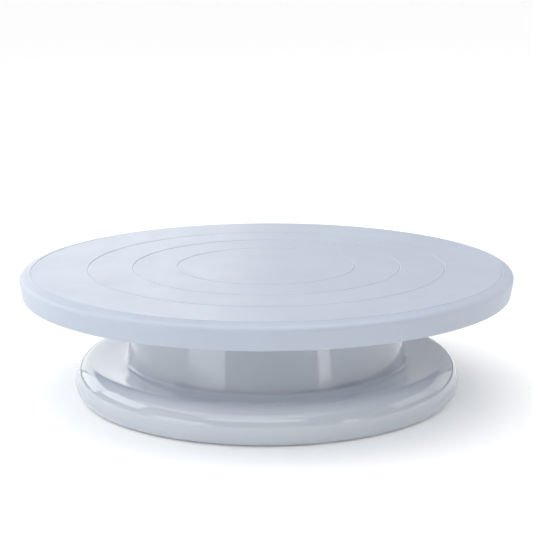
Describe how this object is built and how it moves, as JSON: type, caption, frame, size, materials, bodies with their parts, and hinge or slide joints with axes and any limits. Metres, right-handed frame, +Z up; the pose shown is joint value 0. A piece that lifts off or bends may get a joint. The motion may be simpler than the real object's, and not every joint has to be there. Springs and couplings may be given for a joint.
{
  "type": "cake turntable",
  "caption": "Low round turntable for decorating cakes: a flat platter with a short skirt turns on balls over a flared, hollow base with rubber feet.",
  "frame": {"origin": "on the turning axis, level with the bottoms of the rubber feet", "axes": "+Z up along the turning axis; +X to the right and -Y towards the viewer"},
  "size_m": [0.28, 0.28, 0.073],
  "materials": {
    "platter_plastic": "satin white injection-moulded plastic",
    "base_plastic": "glossy white injection-moulded plastic",
    "turned_steel": "turned steel",
    "bush_plastic": "natural acetal",
    "cage_plastic": "plain white nylon",
    "ball_steel": "polished",
    "zinc_steel": "bright zinc plate",
    "foot_rubber": "matt moulded rubber"
  },
  "bodies": {
    "base": {"base_shell": "base_plastic", "spindle_bush": "bush_plastic", "rubber_foot_1": "foot_rubber", "rubber_foot_2": "foot_rubber", "rubber_foot_3": "foot_rubber", "rubber_foot_4": "foot_rubber", "rubber_foot_5": "foot_rubber", "rubber_foot_6": "foot_rubber"},
    "turning_platter": {"platter": "platter_plastic", "spindle": "turned_steel", "retaining_washer": "zinc_steel", "spring_washer": "zinc_steel", "retaining_screw": "zinc_steel"},
    "ball_ring": {"ball_cage": "cage_plastic", "ball_01": "ball_steel", "ball_02": "ball_steel", "ball_03": "ball_steel", "ball_04": "ball_steel", "ball_05": "ball_steel", "ball_06": "ball_steel", "ball_07": "ball_steel", "ball_08": "ball_steel", "ball_09": "ball_steel", "ball_10": "ball_steel", "ball_11": "ball_steel", "ball_12": "ball_steel", "ball_13": "ball_steel", "ball_14": "ball_steel", "ball_15": "ball_steel", "ball_16": "ball_steel"}
  },
  "joints": [
    {"name": "platter_spin", "type": "hinge", "parent": "base", "child": "turning_platter", "pos_m": [0, 0, 0.0645], "axis": [0, 0, 1], "continuous": true},
    {"name": "cage_spin", "type": "hinge", "parent": "base", "child": "ball_ring", "pos_m": [0, 0, 0.0645], "axis": [0, 0, 1], "continuous": true}
  ],
  "couplings": [
    {"joint": "cage_spin", "follows": "platter_spin", "ratio": 0.5}
  ]
}
